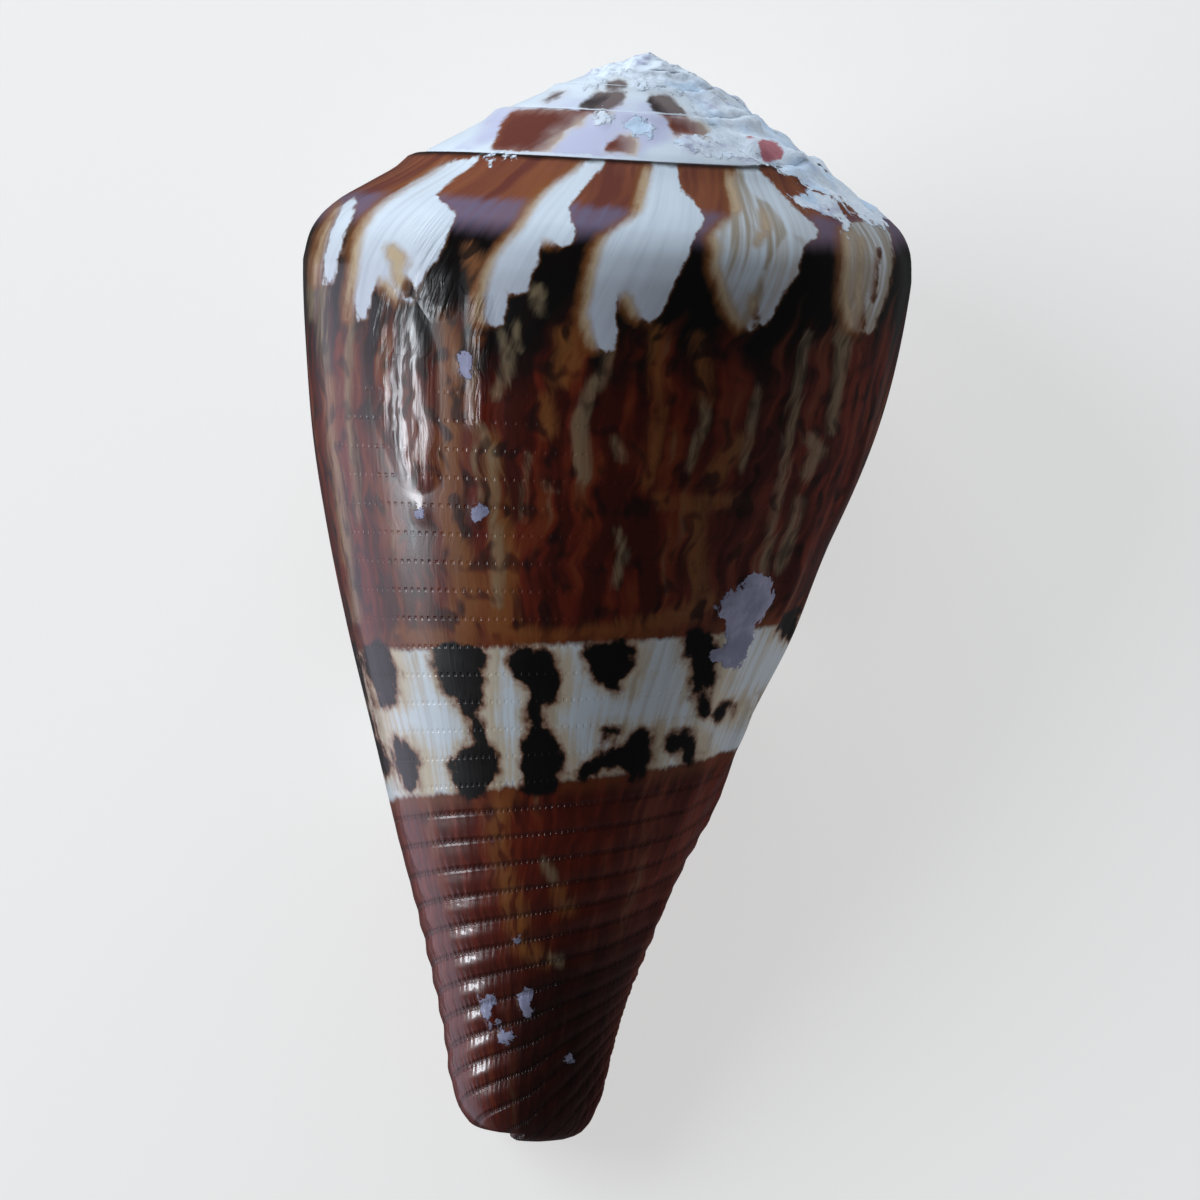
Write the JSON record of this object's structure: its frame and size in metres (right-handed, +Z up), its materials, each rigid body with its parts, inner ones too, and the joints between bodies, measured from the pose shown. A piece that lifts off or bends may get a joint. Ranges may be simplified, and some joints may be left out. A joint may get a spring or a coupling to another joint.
{
  "type": "cone snail shell",
  "caption": "Empty cone snail shell with a low crusted spire, rounded shoulder, tapering dark brown body, pale marked bands and a long narrow aperture.",
  "frame": {"origin": "middle of the bounding box at the height of the surface the shell lies on", "axes": "+Y towards the apex of the shell, +Z up from the surface it lies on, +X to the picture's right"},
  "size_m": [0.0364, 0.0646, 0.033],
  "materials": {
    "shell": "satin"
  },
  "bodies": {
    "root": {"cone_shell": "shell"}
  },
  "joints": []
}
